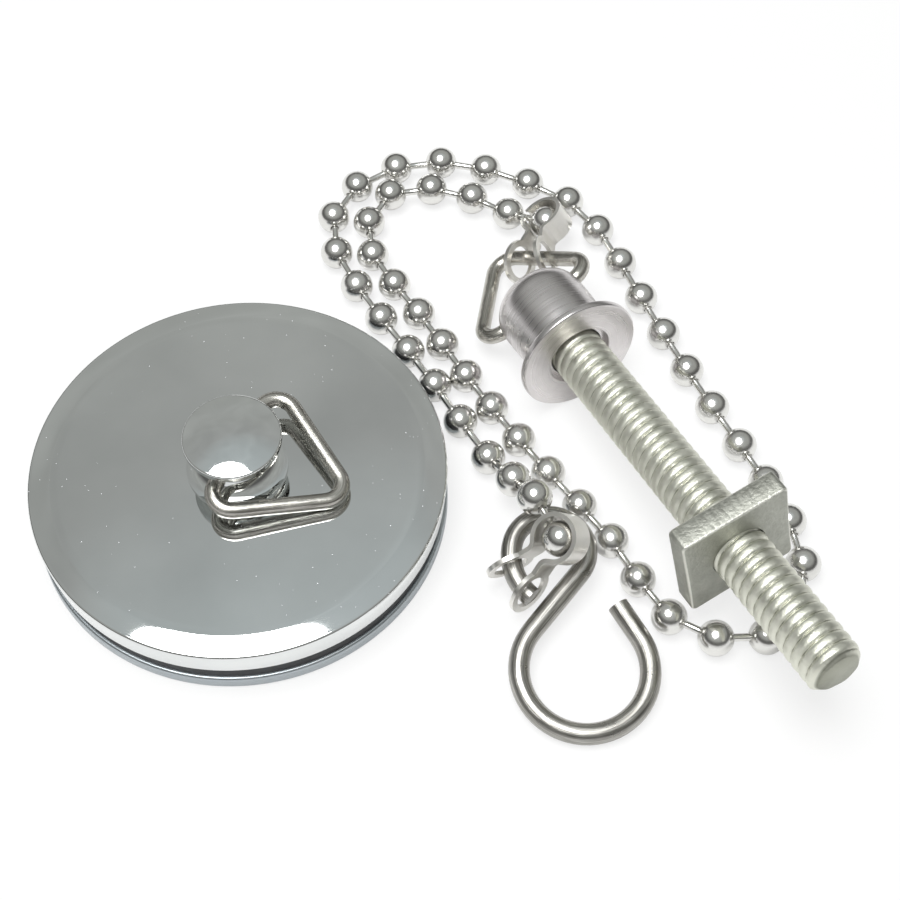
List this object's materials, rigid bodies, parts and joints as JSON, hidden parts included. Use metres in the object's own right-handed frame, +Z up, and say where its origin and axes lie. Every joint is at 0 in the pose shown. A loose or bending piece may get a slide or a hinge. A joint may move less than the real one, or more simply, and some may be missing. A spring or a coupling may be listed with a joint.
{
  "type": "basin drain stopper with ball chain",
  "caption": "Round chrome drain plug with a rubber seal and a wire ring, beside a loose ball chain that joins an S-hook to a threaded stay with a square nut.",
  "frame": {"origin": "middle of the plug's flat underside, on the surface that everything lies on", "axes": "+Z up along the plug's turning axis, +X from the plug towards the hook and the stay's nut, +Y from the hook towards the stay's cap"},
  "size_m": [0.0872, 0.0815, 0.0188],
  "materials": {
    "plug_chrome": "bright chrome plate",
    "seal_rubber": "matt black rubber",
    "ring_steel": "polished wire",
    "cap_metal": "satin turned metal",
    "stud_zinc": "pale zinc plate",
    "nut_zinc": "dull zinc plate",
    "clasp_nickel": "bright nickel plate",
    "hook_steel": "polished wire",
    "chain_nickel": "bright nickel plate"
  },
  "bodies": {
    "plug": {"plug_base": "plug_chrome", "plug_seal": "seal_rubber", "plug_plate": "plug_chrome", "plug_knob": "plug_chrome"},
    "plug_ring": {"plug_ring": "ring_steel"},
    "chain": {"stay_end_bead": "chain_nickel", "hook_end_bead": "chain_nickel", "inner_strand_beads": "chain_nickel", "inner_strand_links": "chain_nickel", "stud_turn_beads": "chain_nickel", "stud_turn_links": "chain_nickel", "outer_strand_beads": "chain_nickel", "outer_strand_links": "chain_nickel", "hook_strand_beads": "chain_nickel", "hook_strand_links": "chain_nickel"},
    "stay_clasp": {"stay_clasp": "clasp_nickel"},
    "stay_ring": {"stay_ring": "ring_steel"},
    "stay": {"stay_cap": "cap_metal", "stay_stud": "stud_zinc"},
    "stay_nut": {"stay_nut": "nut_zinc"},
    "hook_clasp": {"hook_clasp": "clasp_nickel"},
    "hook": {"pull_hook": "hook_steel"}
  },
  "joints": [
    {"name": "plug_ring_swing", "type": "hinge", "parent": "plug", "child": "plug_ring", "pos_m": [0, 0, 0.0104], "axis": [-0.3907, -0.9205, 0], "range_deg": [0, 196]},
    {"name": "chain_lift", "type": "slide", "parent": "plug", "child": "chain", "axis": [0, 0, 1], "range_m": [0, 0.06]},
    {"name": "stay_clasp_swivel", "type": "hinge", "parent": "chain", "child": "stay_clasp", "pos_m": [0.03535, 0.03815, 0.00362], "axis": [-0.8592, 0.4525, -0.2388], "range_deg": [0, 40]},
    {"name": "stay_ring_swing", "type": "hinge", "parent": "stay_clasp", "child": "stay_ring", "pos_m": [0.03356, 0.03227, 0.00374], "axis": [-0.7083, 0.4583, -0.5369], "range_deg": [0, 60]},
    {"name": "stay_swing", "type": "hinge", "parent": "stay_ring", "child": "stay", "pos_m": [0.03388, 0.02316, 0.00619], "axis": [-0.7985, -0.4836, -0.3585], "range_deg": [0, 95]},
    {"name": "nut_travel", "type": "slide", "parent": "stay", "child": "stay_nut", "axis": [0.47, -0.8729, 0.1305], "range_m": [-0.015, 0.015]},
    {"name": "hook_clasp_swivel", "type": "hinge", "parent": "chain", "child": "hook_clasp", "pos_m": [0.03511, -0.00936, 0.00775], "axis": [-0.4398, 0.8981, -0.0005], "range_deg": [0, 40]},
    {"name": "hook_swing", "type": "hinge", "parent": "hook_clasp", "child": "hook", "pos_m": [0.03066, -0.01202, 0.00343], "axis": [0.4384, -0.8907, -0.1204], "range_deg": [-45, 0]}
  ]
}
